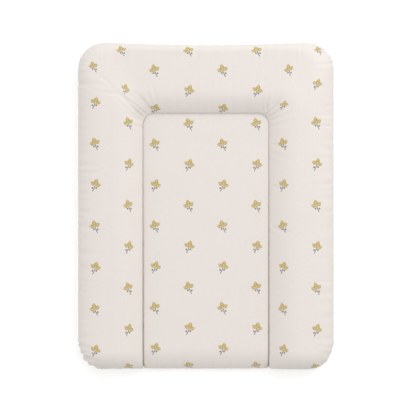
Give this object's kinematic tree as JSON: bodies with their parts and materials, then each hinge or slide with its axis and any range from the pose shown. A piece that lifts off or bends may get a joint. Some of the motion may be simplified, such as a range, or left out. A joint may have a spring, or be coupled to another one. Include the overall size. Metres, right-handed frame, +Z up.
{
  "type": "changing mat",
  "caption": "Padded baby changing mat: welded film cover over a foam pad with a raised bolster along the head end and both sides, open at the foot end.",
  "frame": {"origin": "on the table under the middle of the mat", "axes": "+Z up, +Y along the length to the head end, +X to the right of someone who stands at the foot end"},
  "size_m": [0.548, 0.7, 0.07],
  "materials": {
    "printed_film": "satin film with a fine grain and a small print",
    "plain_film": "satin film, plain",
    "foam": "open-cell foam",
    "vent_plastic": "smooth"
  },
  "bodies": {
    "root": {"cover_top": "printed_film", "cover_base": "plain_film", "centre_pad": "foam", "side_bolster_left": "foam", "side_bolster_right": "foam", "head_bolster": "foam", "vent_disc_left": "vent_plastic", "vent_disc_centre": "vent_plastic", "vent_disc_right": "vent_plastic"}
  },
  "joints": []
}
